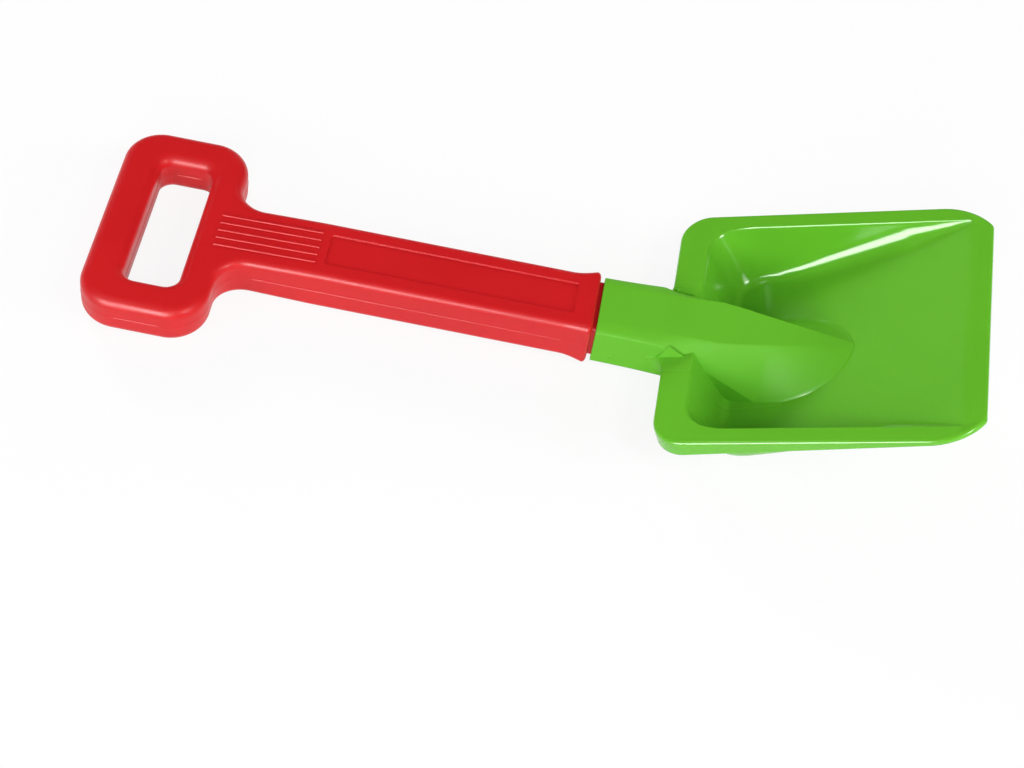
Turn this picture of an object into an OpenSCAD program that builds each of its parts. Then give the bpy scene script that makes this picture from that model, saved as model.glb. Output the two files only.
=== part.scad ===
// Child's sand shovel: a D-grip handle that plugs into the socket of a scoop-shaped blade.
// The handle's own frame has x along the handle towards the blade, with 0 at the socket's mouth,
// y across and z up from the handle's axis. The rim's frame has u forwards along the rim from its
// rear edge, v across and c up, square to the rim.

/* [Grip] */
// Width of the grip across the shovel
grip_w = 97; // [84:1:110]
// Length of the grip along the shovel
grip_l = 53; // [46:1:62]
// Thickness of the grip
grip_t = 18.4; // [15:0.2:20]
// Corner radius of the grip's outline
grip_corner_r = 16; // [11:1:20]
// Rounding along the grip's edges
grip_edge_r = 4.6; // [3:0.2:6]
// Width of the finger window across the shovel
window_w = 65; // [54:1:70]
// Length of the finger window along the shovel
window_l = 22.5; // [18:0.5:26]
// Corner radius of the finger window
window_corner_r = 5.5; // [3:0.5:9]
// Width of the grip's end bar, from the grip's end to the window
end_bar_w = 16.5; // [13:0.5:19]

/* [Shaft] */
// Length of the shaft, from the grip to the collar's end face
shaft_l = 153.7; // [130:0.1:180]
// Width of the shaft
shaft_w = 30.6; // [26:0.2:34]
// Thickness of the shaft
shaft_t = 20.8; // [18:0.2:23]
// Rounding along the shaft's edges
shaft_edge_r = 3.3; // [2:0.1:5]
// Radius of the fillet between the grip and the shaft, seen from above
neck_fillet_r = 12; // [8:0.5:16]
// Length of the flared collar at the shaft's end
collar_l = 12; // [8:0.5:18]
// How far the collar stands out from the shaft all round
collar_flare = 1.3; // [0.6:0.1:2]
// Rounding of the collar's end
collar_end_r = 1.7; // [1:0.1:2.5]
// Wall of the hollow handle
handle_wall = 1.6; // [1.2:0.1:2.4]

/* [Plug] */
// Length of the plug inside the socket
plug_l = 42; // [34:1:48]
// Gap that shows between the collar and the socket's mouth
seat_gap = 1.7; // [1:0.1:3]
// Clearance between the plug and the socket on every side
plug_clearance = 0.2; // [0.1:0.05:0.4]
// Radius of the blowing hole in the plug's end
blow_hole_r = 4; // [2.5:0.25:5]

/* [Panel and grooves] */
// Length of the sunk panel on the shaft
panel_l = 103.8; // [80:0.1:106]
// Width of the sunk panel
panel_w = 15.8; // [10:0.2:20]
// Depth of the sunk panel
panel_depth = 0.7; // [0.4:0.1:0.9]
// Plain length between the panel and the collar's end face
panel_end_gap = 8.5; // [6:0.5:14]
// Number of grooves on the neck
groove_count = 5; // [3:1:5]
// Length of the grooves
groove_l = 42.4; // [30:0.2:43]
// Distance from groove to groove
groove_pitch = 4; // [3:0.1:4.6]
// Width of a groove
groove_w = 1.2; // [0.8:0.1:1.6]
// Depth of a groove
groove_depth = 0.6; // [0.3:0.1:0.8]
// How far the grooves start back on the grip
groove_start = 4.6; // [2:0.2:6]

/* [Socket] */
// Width of the socket at its mouth
socket_w = 30.4; // [28:0.2:34]
// Thickness of the socket at its mouth
socket_t = 21; // [20:0.2:23]
// Wall of the socket
socket_wall = 1.8; // [1.4:0.1:2.4]
// Rounding along the socket's edges at its mouth
socket_edge_r = 2.4; // [1.6:0.1:3]
// Radius of the small round pips on the socket's sides
pip_r = 0.6; // [0.4:0.1:0.9]
// Distance of the pips from the socket's mouth
pip_x = 8; // [4:0.2:12]
// Height of the pips from the handle's axis, below it when negative
pip_z = -4; // [-6:0.5:6]
// Free length past the plug's end in the socket
socket_end_gap = 1.5; // [0.5:0.1:3]

/* [Tongue] */
// Length from the socket's mouth to the bend where the tongue starts to narrow on top
tongue_bend_l = 50; // [46:1:56]
// Width of the tongue at its bend
tongue_bend_w = 35.6; // [33:0.2:40]
// Width of the tongue where its nose begins
tongue_w = 45.6; // [38:0.2:50]
// Length of the tongue's rounded nose
tongue_nose_l = 25; // [18:1:30]
// Width of the tongue's flat top up to the bend
tongue_flat_w = 22; // [18:0.2:26]
// Width of the flat top at the tip
tongue_tip_w = 1.5; // [1:0.25:4]
// Most height of the tongue's sides, where the nose begins
tongue_flank_h = 26; // [16:0.5:30]

/* [Scoop] */
// Length of the scoop's rim
scoop_l = 130.3; // [115:0.1:145]
// Width of the scoop's rim
scoop_w = 122.6; // [106:0.2:136]
// Angle of the rim to the handle's axis
scoop_pitch = 19.3; // [15:0.1:24]
// Depth of the scoop at its rear
scoop_depth = 26; // [20:0.5:30]
// Slope of the scoop's floor to its rim, in degrees
floor_slope = 16.7; // [14:0.1:22]
// Height over which the sloping floor eases into its level rear
floor_ease_h = 6; // [3:0.5:9]
// Distance from the socket's mouth to the rim's rear edge
rim_set_back = 28.6; // [26:0.2:34]
// Height of the rim's rear edge over the handle's axis
rim_rise = 4; // [2:0.1:6]
// Wall of the scoop
scoop_wall = 1.9; // [1.5:0.1:2.6]
// Width of the rim's flange at the rear
rear_flange_w = 12.8; // [9:0.2:15]
// Width of the rim's flange at the sides
side_flange_w = 7.7; // [5:0.1:9]
// Width of the flat lip at the front
front_lip_w = 5.5; // [4:0.5:9]
// Height of the skirt that hangs from the rim, at the rear
skirt_h = 8.2; // [5:0.1:9]
// Length over which the skirt runs out into the front lip
skirt_l = 118; // [60:1:125]
// Height of the front lip's edge
lip_h = 2.4; // [2.2:0.1:3.4]
// Rounding along the rim's upper edge
rim_edge_r = 1.5; // [1:0.1:1.8]
// Corner radius of the rim at the rear
rear_corner_r = 13; // [10:0.5:17]
// Radius of the rim's drawn-in front corners
front_corner_r = 26; // [20:1:32]
// Sweep of the drawn-in front corners, in degrees
front_sweep = 51; // [40:1:60]
// Small radius where a front corner meets the front edge
front_tip_r = 4; // [3:0.5:6]
// Corner radius of the bowl at the front
bowl_corner_r = 7; // [5:0.5:12]
// Slope of the rear wall away from square to the rim
rear_draft = 20; // [14:1:26]
// Slope of the side walls away from square to the rim
side_draft = 14; // [10:1:20]
// Radius of the fillet between the rear wall and the floor
rear_fillet_r = 4; // [3:0.5:8]
// Radius of the fillet between the side walls and the floor
side_fillet_r = 9; // [6:0.5:16]
// Radius of the webs between the flange's rear edge and the socket
rear_web_r = 7; // [5:0.5:10]
// Length of the small gussets where the flange meets the socket
gusset_l = 11.5; // [6:0.5:13]
// Height of the gussets up the socket's side
gusset_h = 5.5; // [2:0.5:7]
// How far the gussets stand out from the socket's side
gusset_out = 0.8; // [0.6:0.1:2]
// Place of the gussets' middle along the rim
gusset_u = 3.6; // [2:0.1:5]

/* [Hidden] */
$fn = 32;
// Overrun of every cut past the face that it opens
cut_over = 1;

// Points on the arcs of small and large roundings
arc_n = 5;
corner_n = 6;
side_n = 8;
tip_n = 4;
edge_n = 3;
flank_n = 7;
base_n = 2;

// Shares: the place of the tongue's tip on the floor, and the most of its width that is flat
tip_share = 0.605;
crest_share = 0.6;
// How far the shaft's root reaches into the grip's inner bar, as a share of the neck's fillet
neck_root_share = 0.25;
// Powers that turn the quarter ellipse of the tongue's sides into a tighter crest and a hollow foot
crest_power = 1.5;
foot_power = 2.2;
// Most of the floor's depth that a fillet takes up
fillet_share = 0.9;
// Height of the webs beside the socket
web_h = skirt_h;

// Places along the handle's axis, in the handle's frame
collar_x = -seat_gap;
grip_x1 = collar_x - shaft_l;
grip_x0 = grip_x1 - grip_l;
window_x0 = grip_x0 + end_bar_w;
window_x1 = window_x0 + window_l;

// Roundings of a loop in the plane: centre of each corner and the points on its arc
function arc(cx, cy, r, from, to, n) = [for (i = [0 : n]) let (a = from + (to - from) * i / n)
    [cx + r * cos(a), cy + r * sin(a)]];
function rounded_loop(x0, x1, y0, y1, r, n) = concat(
    arc(x1 - r, y1 - r, r, 0, 90, n),
    arc(x0 + r, y1 - r, r, 90, 180, n),
    arc(x0 + r, y0 + r, r, 180, 270, n),
    arc(x1 - r, y0 + r, r, 270, 360, n));

// Faces between ring r and ring s of m points each
function band(r, s, m) = [for (j = [0 : m - 1]) let (k = (j + 1) % m)
    each [[r * m + j, r * m + k, s * m + k], [r * m + j, s * m + k, s * m + j]]];
// A tube of n rings that run backwards along the turn of their points, with flat ends
function tube_faces(n, m) = concat(
    [[for (j = [0 : m - 1]) j]],
    [for (r = [0 : n - 2]) each band(r + 1, r, m)],
    [[for (j = [0 : m - 1]) n * m - 1 - j]]);
// A ring-shaped tube, whose last ring meets its first
function loop_faces(n, m) = [for (r = [0 : n - 1]) each band(r, (r + 1) % n, m)];

module tube(rings) {
    polyhedron(points = [for (r = rings) each r], faces = tube_faces(len(rings), len(rings[0])));
}
module ring_tube(rings) {
    polyhedron(points = [for (r = rings) each r], faces = loop_faces(len(rings), len(rings[0])));
}

// Handle: a rounded-rectangle loop for the grip, and a shaft that grows out of its inner bar.
// Each takes an inset, so that the same shape gives the outside and the hollow.
function section(half_w, half_t, r) = rounded_loop(-half_w, half_w, -half_t, half_t, r, arc_n);

function grip_rings(inset) =
    let (outside = rounded_loop(grip_x0, grip_x1, -grip_w / 2, grip_w / 2, grip_corner_r, corner_n),
         window = rounded_loop(window_x0, window_x1, -window_w / 2, window_w / 2, window_corner_r, corner_n))
    [for (i = [0 : len(outside) - 1])
        let (o = outside[i], w = window[i], mid = (o + w) / 2, wide = norm(o - w), dir = (o - w) / wide)
        [for (p = section(wide / 2 - inset, grip_t / 2 - inset, grip_edge_r - inset))
            [mid[0] + dir[0] * p[0], mid[1] + dir[1] * p[0], p[1]]]];

// Stations along the shaft: place, half width, half thickness and edge rounding
neck_root_x = grip_x1 - grip_edge_r - neck_fillet_r * neck_root_share;
neck_n = 6;
ramp_x0 = grip_x1 - groove_start;
ramp_rise = (shaft_t - grip_t) / 2;
function half_t(x) = grip_t / 2 + ramp_rise * min(max((x - ramp_x0) / groove_l, 0), 1);
neck_stations = [for (i = [0 : neck_n]) let (a = 90 * i / neck_n, x = grip_x1 + neck_fillet_r * (1 - cos(a)))
    [x, shaft_w / 2 + neck_fillet_r * (1 - sin(a)), half_t(x),
     grip_edge_r + (shaft_edge_r - grip_edge_r) * sin(a)]];
flare_n = 3;
flare_l = collar_l - collar_end_r;
shaft_stations = concat(
    [[neck_root_x, shaft_w / 2 + neck_fillet_r, half_t(neck_root_x) - cut_over, grip_edge_r]],
    neck_stations,
    [[ramp_x0 + groove_l, shaft_w / 2, shaft_t / 2, shaft_edge_r]],
    [for (i = [0 : flare_n]) let (flare = collar_flare * (1 - cos(90 * i / flare_n)))
        [collar_x - collar_l + flare_l * i / flare_n, shaft_w / 2 + flare, shaft_t / 2 + flare, shaft_edge_r]]);
collar_stations = [for (i = [1 : edge_n]) let (a = 90 * i / edge_n, drop = collar_end_r * (1 - cos(a)))
    [collar_x - collar_end_r * (1 - sin(a)),
     shaft_w / 2 + collar_flare - drop, shaft_t / 2 + collar_flare - drop, shaft_edge_r]];
function shaft_rings(stations, inset) = [for (s = stations)
    [for (p = section(s[1] - inset, s[2] - inset, s[3] - inset)) [s[0], p[0], p[1]]]];

// Plug: a straight rounded bar that fits the socket with its clearance
plug_w = socket_w - 2 * socket_wall - 2 * plug_clearance;
plug_t = socket_t - 2 * socket_wall - 2 * plug_clearance;
plug_edge_r = socket_edge_r - socket_wall / 2;
plug_x1 = plug_l;
module rounded_bar(x0, x1, w, t, r) {
    translate([x0, 0, 0]) rotate([90, 0, 90]) linear_extrude(height = x1 - x0) {
        square([w - 2 * r, t], center = true);
        square([w, t - 2 * r], center = true);
        for (y = [-1, 1], z = [-1, 1])
            translate([y * (w / 2 - r), z * (t / 2 - r)]) circle(r = r);
    }
}

module handle_outside() {
    ring_tube(grip_rings(0));
    tube(shaft_rings(concat(shaft_stations, collar_stations), 0));
    rounded_bar(collar_x - collar_l / 2, plug_x1, plug_w, plug_t, plug_edge_r);
}

module handle_hollow() {
    ring_tube(grip_rings(handle_wall));
    tube(shaft_rings(shaft_stations, handle_wall));
    rounded_bar(collar_x - collar_l, plug_x1 - handle_wall, plug_w - 2 * handle_wall,
        plug_t - 2 * handle_wall, plug_edge_r);
}

module groove(y) {
    translate([ramp_x0, y, grip_t / 2]) rotate([0, 90 - atan(ramp_rise / groove_l), 0])
        linear_extrude(height = groove_l)
            polygon([[groove_depth, 0], [-groove_depth, -groove_w], [-groove_depth, groove_w]]);
}

module handle() {
    color([0.8, 0.1, 0.12]) in_shovel_frame() difference() {
        handle_outside();
        handle_hollow();
        translate([plug_x1, 0, 0]) rotate([0, 90, 0])
            cylinder(r = blow_hole_r, h = 2 * (handle_wall + cut_over), center = true);
        translate([collar_x - panel_end_gap - panel_l, -panel_w / 2, shaft_t / 2 - panel_depth])
            cube([panel_l, panel_w, panel_depth + cut_over]);
        for (i = [0 : groove_count - 1])
            groove((i - (groove_count - 1) / 2) * groove_pitch);
    }
}

// Scoop: a surface over the rim's plane, with fillets between the flange, the walls and the floor.
// lower() is the lesser of two heights with a smooth change over.
rim_half_w = scoop_w / 2;
inner_half_w = rim_half_w - side_flange_w;
floor_front_u = scoop_l - front_lip_w;
rear_cot = 1 / tan(rear_draft);
side_cot = 1 / tan(side_draft);
rear_run = scoop_depth / rear_cot;
side_run = scoop_depth / side_cot;
floor_rear_u = rear_flange_w + rear_run;
wall_shift = scoop_wall / cos(rear_draft);
// Height over which the walls and the flange blend
rim_blend = scoop_wall;
// A smooth change over of this many corner radii gives that radius where two walls meet
blend_share = 1.17;
corner_blend = blend_share * rear_corner_r * (rear_cot + side_cot) / 2;

function lower(a, b, k) = min(a, b) - pow(max(k - abs(a - b), 0), 2) / (4 * k);
function floor_c(u) = -lower(scoop_depth, max(floor_front_u - u, 0) * tan(floor_slope), floor_ease_h);
// Depth where a wall of this depth and slope meets a floor of this depth with a round fillet
function filleted(floor_d, wall_d, slope, r) =
    let (tilt = atan(slope), run = r * tan(tilt / 2), away = (wall_d - floor_d) / slope)
    away > run ? floor_d : away < -run * cos(tilt) ? wall_d
        : floor_d - r + sqrt(r * r - pow(run - away, 2));
function bowl_c(u, v, shift) =
    let (rear_d = (u - rear_flange_w + shift) * rear_cot,
         side_d = (inner_half_w - abs(v) + shift) * side_cot,
         rear_share = min(max((1 + (side_d - rear_d) / corner_blend) / 2, 0), 1),
         slope = norm([rear_cot * rear_share, side_cot * (1 - rear_share)]),
         fillet_r = rear_fillet_r * rear_share + side_fillet_r * (1 - rear_share),
         floor_d = -floor_c(u),
         r = min(fillet_r, floor_d * fillet_share / (1 - cos(atan(slope)))) + shift)
    lower(0, -filleted(floor_d, lower(rear_d, side_d, corner_blend), slope, r), rim_blend);

// Loops round the scoop: half a loop runs from the front edge round one side to the rear edge
function front_corner(u1, w, r, tip) =
    let (run = r * sin(front_sweep) + tip * (1 - sin(front_sweep)), su = u1 - run, cv = w - r,
         tu = u1 - tip, tv = cv + (r - tip) * cos(front_sweep))
    concat(arc(tu, tv, tip, 0, 90 - front_sweep, tip_n),
        [for (i = [1 : corner_n]) let (a = 90 - front_sweep + front_sweep * i / corner_n)
            [su + r * cos(a), cv + r * sin(a)]]);
function half_loop(u0, u1, w, rear_r, front_r, tip_r) =
    let (front = front_corner(u1, w, front_r, tip_r), last = front[len(front) - 1])
    concat(front,
        [for (i = [1 : side_n]) [last[0] + (u0 + rear_r - last[0]) * i / (side_n + 1), w]],
        arc(u0 + rear_r, w - rear_r, rear_r, 90, 180, corner_n));
function whole_loop(half) = let (n = len(half))
    concat(half, [for (i = [1 : n]) [half[n - i][0], -half[n - i][1]]]);
function rim_loop(inset) = whole_loop(half_loop(inset, scoop_l - inset, rim_half_w - inset,
    rear_corner_r - inset, front_corner_r - inset, front_tip_r - inset));
function bowl_loop(share, shift) = whole_loop(half_loop(
    rear_flange_w + rear_run * share - shift, floor_front_u - side_run * share + shift,
    inner_half_w - side_run * share + shift, rear_corner_r, bowl_corner_r, bowl_corner_r));

// Height of the rim's outer edge below the rim's plane: the skirt runs out into the lip
function skirt_c(u) = -lip_h - (skirt_h - lip_h) * max(0, 1 - u / skirt_l);

// Rings from the middle of the floor out over the rim and back underneath
bowl_shares = [2.6, 2.1, 1.7, 1.4, 1.2, 1.02, 0.86, 0.7, 0.54, 0.38, 0.2, 0.08, 0, -0.08];
function over_ring(share) = [for (p = bowl_loop(share, 0)) [p[0], p[1], bowl_c(p[0], p[1], 0)]];
function under_ring(share) = [for (p = bowl_loop(share, wall_shift))
    [p[0], p[1], bowl_c(p[0], p[1], wall_shift) - scoop_wall]];
function level_ring(inset, c) = [for (p = rim_loop(inset)) [p[0], p[1], c]];
function skirt_ring(inset) = [for (p = rim_loop(inset)) [p[0], p[1], skirt_c(p[0])]];
scoop_rings = concat(
    [for (share = bowl_shares) over_ring(share)],
    [for (i = [0 : edge_n]) let (a = 90 * i / edge_n)
        level_ring(rim_edge_r * (1 - sin(a)), -rim_edge_r * (1 - cos(a)))],
    [skirt_ring(0), skirt_ring(scoop_wall), level_ring(scoop_wall, -scoop_wall)],
    [for (i = [1 : len(bowl_shares)]) under_ring(bowl_shares[len(bowl_shares) - i])]);

// Strips across a loop, each between a pair of points and the pair behind it
function across(start, m, up) = [for (j = [0 : m / 2 - 2])
    let (a = start + j, b = start + j + 1, c = start + m - 2 - j, d = start + m - 1 - j)
    each (up ? [[a, d, c], [a, c, b]] : [[a, b, c], [a, c, d]])];
module scoop_shell() {
    m = len(scoop_rings[0]);
    n = len(scoop_rings);
    polyhedron(points = [for (r = scoop_rings) each r],
        faces = concat(across(0, m, true), [for (r = [0 : n - 2]) each band(r, r + 1, m)],
            across((n - 1) * m, m, false)));
}
module in_rim_frame() {
    translate([rim_set_back, 0, rim_rise]) rotate([0, -scoop_pitch, 0]) children();
}

// Tongue: the socket's box carries on past the rear wall and runs out on the scoop's floor.
// Its flat top narrows towards the tip, and its sides round over down to the floor.
function floor_x(u) = rim_set_back + u * cos(scoop_pitch) - floor_c(u) * sin(scoop_pitch);
function floor_z(u) = rim_rise + u * sin(scoop_pitch) + floor_c(u) * cos(scoop_pitch);
tip_u = floor_front_u * tip_share;
tongue_x1 = floor_x(tip_u);
tongue_z1 = floor_z(tip_u);
nose_x0 = tongue_x1 - tongue_nose_l;
socket_shares = [0, 0.25, 0.5, 0.7, 0.85, 1];
tongue_shares = [0.02, 0.1, 0.2, 0.3, 0.4, 0.5, 0.6, 0.7, 0.78, 0.85, 0.91, 0.96, 0.99];
// Each station has its place and the height of its bottom
socket_stations = [for (k = socket_shares) [tongue_bend_l * k, -socket_t / 2]];
tongue_stations = concat(socket_stations, [for (k = tongue_shares)
    let (u = floor_rear_u + (tip_u - floor_rear_u) * k)
    if (floor_x(u) > tongue_bend_l + socket_wall) [floor_x(u), floor_z(u) - scoop_wall / 2]]);
function tongue_top(x) = socket_t / 2 + (tongue_z1 - socket_t / 2) * x / tongue_x1;
function between(x, x0, x1, y0, y1) = y0 + (y1 - y0) * min(max((x - x0) / (x1 - x0), 0), 1);
function tongue_half_w(x, inset) =
    let (w = x < tongue_bend_l ? socket_w + (tongue_bend_w - socket_w) * pow(x / tongue_bend_l, 2)
            : between(x, tongue_bend_l, nose_x0, tongue_bend_w, tongue_w),
         nose = min(max((x - nose_x0) / (tongue_nose_l - inset), 0), 1))
    (w / 2 - inset) * sqrt(1 - nose * nose);
function tongue_section(x, bottom, inset) =
    let (w = tongue_half_w(x, inset), top = tongue_top(x) - inset,
         rb = min(x > tongue_bend_l ? scoop_wall / 4 : socket_edge_r, w / 2),
         base = bottom + rb,
         top_w = x < tongue_bend_l ? between(x, 0, tongue_bend_l, socket_w - 2 * socket_edge_r, tongue_flat_w)
             : between(x, tongue_bend_l, tongue_x1, tongue_flat_w, tongue_tip_w),
         flat = min(max(top_w - inset, tongue_tip_w) / 2, w * crest_share),
         drop = min(between(x, tongue_bend_l / 2, nose_x0, socket_edge_r, tongue_flank_h), top - base),
         crest_turn = between(x, 0, tongue_bend_l, 1, crest_power),
         foot_turn = between(x, 0, nose_x0, 1, foot_power),
         side = [for (i = [0 : flank_n]) let (a = 90 * i / flank_n)
             [flat + (w - flat) * pow(cos(a), crest_turn), top - drop * (1 - pow(sin(a), foot_turn))]])
    concat(
        [for (p = side) [x, p[0], p[1]]],
        [for (i = [0 : flank_n]) let (p = side[flank_n - i]) [x, -p[0], p[1]]],
        [for (p = arc(rb - w, base, rb, 180, 270, base_n)) [x, p[0], p[1]]],
        [for (p = arc(w - rb, base, rb, 270, 360, base_n)) [x, p[0], p[1]]]);
module tongue_outside() {
    tube([for (s = tongue_stations) tongue_section(s[0], s[1], 0)]);
}

// Hollow under the tongue, open below
hollow_x0 = plug_l + socket_end_gap + socket_wall;
module tongue_hollow() {
    tube(concat(
        [for (x = [hollow_x0, (hollow_x0 + floor_x(floor_rear_u)) / 2])
            tongue_section(x, -socket_t / 2 - 2 * cut_over, socket_wall)],
        [for (k = tongue_shares) let (u = floor_rear_u + (tip_u - floor_rear_u) * k, x = floor_x(u))
            if (x < tongue_x1 - 2 * socket_wall)
                tongue_section(x, floor_z(u) - scoop_wall - 2 * cut_over, socket_wall)]));
}

// Concave web in the rim's plane between the flange's rear edge and the socket's side
module rear_web() {
    side_v = tongue_half_w(rim_set_back, 0);
    linear_extrude(height = web_h) polygon(concat(
        [[scoop_wall, side_v - scoop_wall], [scoop_wall, side_v + rear_web_r]],
        arc(-rear_web_r, side_v + rear_web_r, rear_web_r, 0, -90, corner_n),
        [[-rear_web_r, side_v - scoop_wall]]));
}

// Small gusset that climbs from the flange onto the socket's side
module gusset() {
    side_v = tongue_half_w(rim_set_back, 0);
    polyhedron(points = [[gusset_u - gusset_l / 2, side_v + gusset_out, 0],
            [gusset_u + gusset_l / 2, side_v + gusset_out, 0],
            [gusset_u, side_v - gusset_out / 2, gusset_h],
            [gusset_u, side_v - socket_wall, -gusset_h]],
        faces = [[0, 1, 2], [0, 3, 1], [1, 3, 2], [2, 3, 0]]);
}

// The shovel lies on the grip's end and on the underside of the scoop, which stands lower than
// the grip, so the handle's axis rises a little towards the blade
foot = [grip_x0 + grip_edge_r, -grip_t / 2];
under_points = [for (ring = scoop_rings, p = ring)
    [rim_set_back + p[0] * cos(scoop_pitch) - p[2] * sin(scoop_pitch),
     rim_rise + p[0] * sin(scoop_pitch) + p[2] * cos(scoop_pitch)]];
rest_tilt = max([for (p = under_points) atan2(foot[1] - p[1], p[0] - foot[0])]);
rear_end_x = grip_x0 * cos(rest_tilt) - (grip_t / 2 - grip_edge_r) * sin(rest_tilt);
front_end_x = rim_set_back * cos(rest_tilt) - rim_rise * sin(rest_tilt)
    + scoop_l * cos(scoop_pitch + rest_tilt) + lip_h * sin(scoop_pitch + rest_tilt);
rest_z = -(foot[0] * sin(rest_tilt) + foot[1] * cos(rest_tilt));
module in_shovel_frame() {
    translate([-(rear_end_x + front_end_x) / 2, 0, rest_z]) rotate([0, -rest_tilt, 0]) children();
}

module blade() {
    color([0.4, 0.72, 0.18]) in_shovel_frame() difference() {
        union() {
            in_rim_frame() {
                scoop_shell();
                for (side = [0, 1]) mirror([0, side, 0]) {
                    translate([0, 0, -web_h]) rear_web();
                    gusset();
                }
            }
            tongue_outside();
            for (side = [-1, 1])
                translate([pip_x, side * tongue_half_w(pip_x, 0), pip_z]) sphere(r = pip_r);
        }
        tongue_hollow();
        rounded_bar(-cut_over, plug_l + socket_end_gap, plug_w + 2 * plug_clearance,
            plug_t + 2 * plug_clearance, plug_edge_r + plug_clearance);
    }
}

handle();
blade();
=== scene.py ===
"""Child's sand shovel: a hollow red D-grip handle that plugs into a green scoop."""
import math

import bmesh
import bpy
import numpy as np
from bpy.props import FloatProperty, FloatVectorProperty, IntProperty, PointerProperty
from mathutils import Matrix, Vector
from mathutils.geometry import delaunay_2d_cdt


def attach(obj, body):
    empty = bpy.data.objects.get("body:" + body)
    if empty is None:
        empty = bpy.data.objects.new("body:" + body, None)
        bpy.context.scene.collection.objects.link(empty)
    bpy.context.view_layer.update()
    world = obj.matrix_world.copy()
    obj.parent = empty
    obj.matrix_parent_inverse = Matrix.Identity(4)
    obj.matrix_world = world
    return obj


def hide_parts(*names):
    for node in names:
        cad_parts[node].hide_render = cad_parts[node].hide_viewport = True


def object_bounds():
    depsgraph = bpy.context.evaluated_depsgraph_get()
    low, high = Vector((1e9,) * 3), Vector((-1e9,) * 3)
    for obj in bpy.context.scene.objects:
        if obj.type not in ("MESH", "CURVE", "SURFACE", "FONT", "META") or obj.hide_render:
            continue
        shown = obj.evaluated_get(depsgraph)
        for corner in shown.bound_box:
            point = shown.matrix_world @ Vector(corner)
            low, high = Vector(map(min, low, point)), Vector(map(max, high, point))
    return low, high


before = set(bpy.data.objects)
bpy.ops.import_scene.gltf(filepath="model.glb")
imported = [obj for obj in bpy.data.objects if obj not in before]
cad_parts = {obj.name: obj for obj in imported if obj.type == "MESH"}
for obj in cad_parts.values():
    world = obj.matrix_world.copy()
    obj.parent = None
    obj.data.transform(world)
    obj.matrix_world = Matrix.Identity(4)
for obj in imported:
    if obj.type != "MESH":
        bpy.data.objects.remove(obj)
CAD_BOX = [list(corner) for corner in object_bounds()]

bl_info = {
    "name": "Sand Shovel",
    "version": (1, 0, 0),
    "blender": (4, 5, 0),
    "location": "3D View > Sidebar > Sand Shovel",
    "description": "Builds a child's two-piece sand shovel with its plastics and a studio stage",
    "category": "Object",
}

MM = 0.001
# The shovel lies on the grip's end and on the underside of the scoop: the handle's axis rises by
# this angle towards the blade, and the socket's mouth stands here in the shovel's own frame
REST_TILT = math.radians(1.16354)
MOUTH_X = 28.5105 * MM
AXIS_RISE = 13.3365 * MM
IN_SHOVEL = Matrix.Translation((MOUTH_X, 0, AXIS_RISE)) @ Matrix.Rotation(-REST_TILT, 4, "Y")


def length(name, mm, description):
    return FloatProperty(name=name, description=description, default=mm * MM, min=0.0,
                         unit="LENGTH", subtype="DISTANCE", precision=5)


def angle(name, degrees, description):
    return FloatProperty(name=name, description=description, default=math.radians(degrees),
                         subtype="ANGLE")


def share(name, value, description):
    return FloatProperty(name=name, description=description, default=value, min=0.0,
                         subtype="FACTOR")


def paint(name, rgb, description):
    return FloatVectorProperty(name=name, description=description, default=rgb, size=3,
                               min=0.0, max=1.0, subtype="COLOR")


class ShovelHandleSizes(bpy.types.PropertyGroup):
    """Sizes of the handle, along the handle's own axis"""
    grip_w: length("Grip width", 97, "Width of the grip across the shovel")
    grip_l: length("Grip length", 53, "Length of the grip along the shovel")
    grip_t: length("Grip thickness", 18.4, "Thickness of the grip")
    grip_corner: length("Grip corner radius", 16, "Corner radius of the grip's outline")
    grip_edge: length("Grip edge radius", 4.6, "Rounding along the grip's edges")
    window_w: length("Window width", 65, "Width of the finger window")
    window_l: length("Window length", 22.5, "Length of the finger window along the shovel")
    window_corner: length("Window corner radius", 5.5, "Corner radius of the finger window")
    end_bar: length("End bar", 16.5, "From the grip's end to the window")
    shaft_l: length("Shaft length", 153.7, "From the grip to the collar's end face")
    shaft_w: length("Shaft width", 30.6, "Width of the shaft")
    shaft_t: length("Shaft thickness", 20.8, "Thickness of the shaft")
    shaft_edge: length("Shaft edge radius", 3.3, "Rounding along the shaft's edges")
    neck_fillet: length("Neck fillet", 12, "Fillet between the grip and the shaft")
    collar_l: length("Collar length", 12, "Length of the flared collar")
    collar_flare: length("Collar flare", 1.3, "How far the collar stands out all round")
    collar_end: length("Collar end radius", 1.7, "Rounding of the collar's end")
    seam_h: length("Parting line height", 0.6, "Height of the raised parting line")
    seam_out: length("Parting line relief", 0.15, "How far the parting line stands out")
    seat_gap: length("Seat gap", 1.7, "Gap between the collar and the socket's mouth")
    plug_l: length("Plug length", 42, "Length of the plug inside the socket")
    plug_w: length("Plug width", 26.4, "Width of the plug")
    plug_t: length("Plug thickness", 17, "Thickness of the plug")
    plug_edge: length("Plug edge radius", 1.5, "Rounding along the plug's edges")
    blow_hole: length("Blowing hole radius", 4, "Radius of the hole in the plug's end")
    wall: length("Wall", 1.6, "Wall of the hollow handle")


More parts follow.
